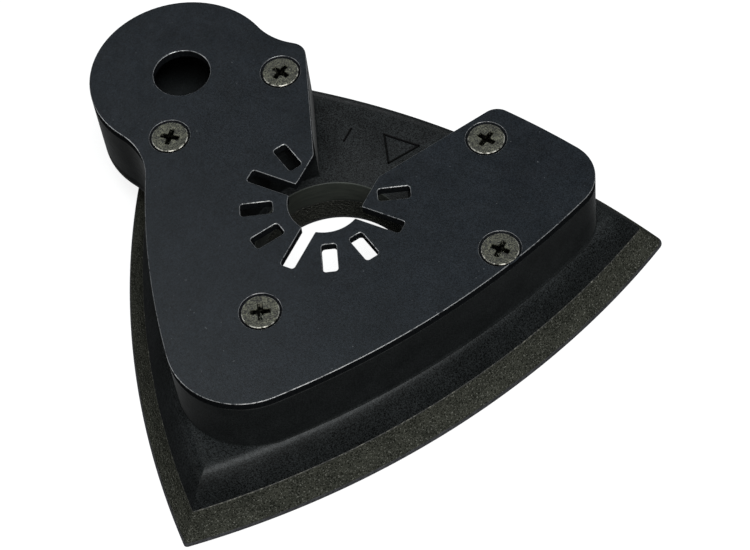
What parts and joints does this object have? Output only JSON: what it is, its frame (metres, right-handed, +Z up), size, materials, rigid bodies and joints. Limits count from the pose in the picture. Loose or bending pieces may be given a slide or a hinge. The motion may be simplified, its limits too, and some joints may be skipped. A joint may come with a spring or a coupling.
{
  "type": "delta sanding pad",
  "caption": "Triangular sanding pad attachment for an oscillating multi tool, with an open arbor slot, a foam face and a dust port.",
  "frame": {"origin": "on the tool's spindle axis, which is the well's axis, at the level of the sanding face", "axes": "+Z up along the spindle axis, from the sanding face to the tool; -Y towards the pad's nose; the dust port's ear is on the -X side"},
  "size_m": [0.1071, 0.0994, 0.0247],
  "materials": {
    "plate_steel": "black satin coating on pressed steel, fine speckle, bright worn edges",
    "screw_steel": "yellow-grey passivated steel, rough faces",
    "housing_nylon": "fine-textured black glass-filled nylon",
    "bond_film": "clear grey adhesive film, seen only as a thin ragged line",
    "pad_foam": "olive-brown cut foam with fine open cells",
    "hook_fabric": "black hook-and-loop sheet"
  },
  "bodies": {
    "root": {"cover_plate": "plate_steel", "cover_screws": "screw_steel", "housing": "housing_nylon", "foam_bond": "bond_film", "foam_pad": "pad_foam", "hook_sheet": "hook_fabric"}
  },
  "joints": []
}
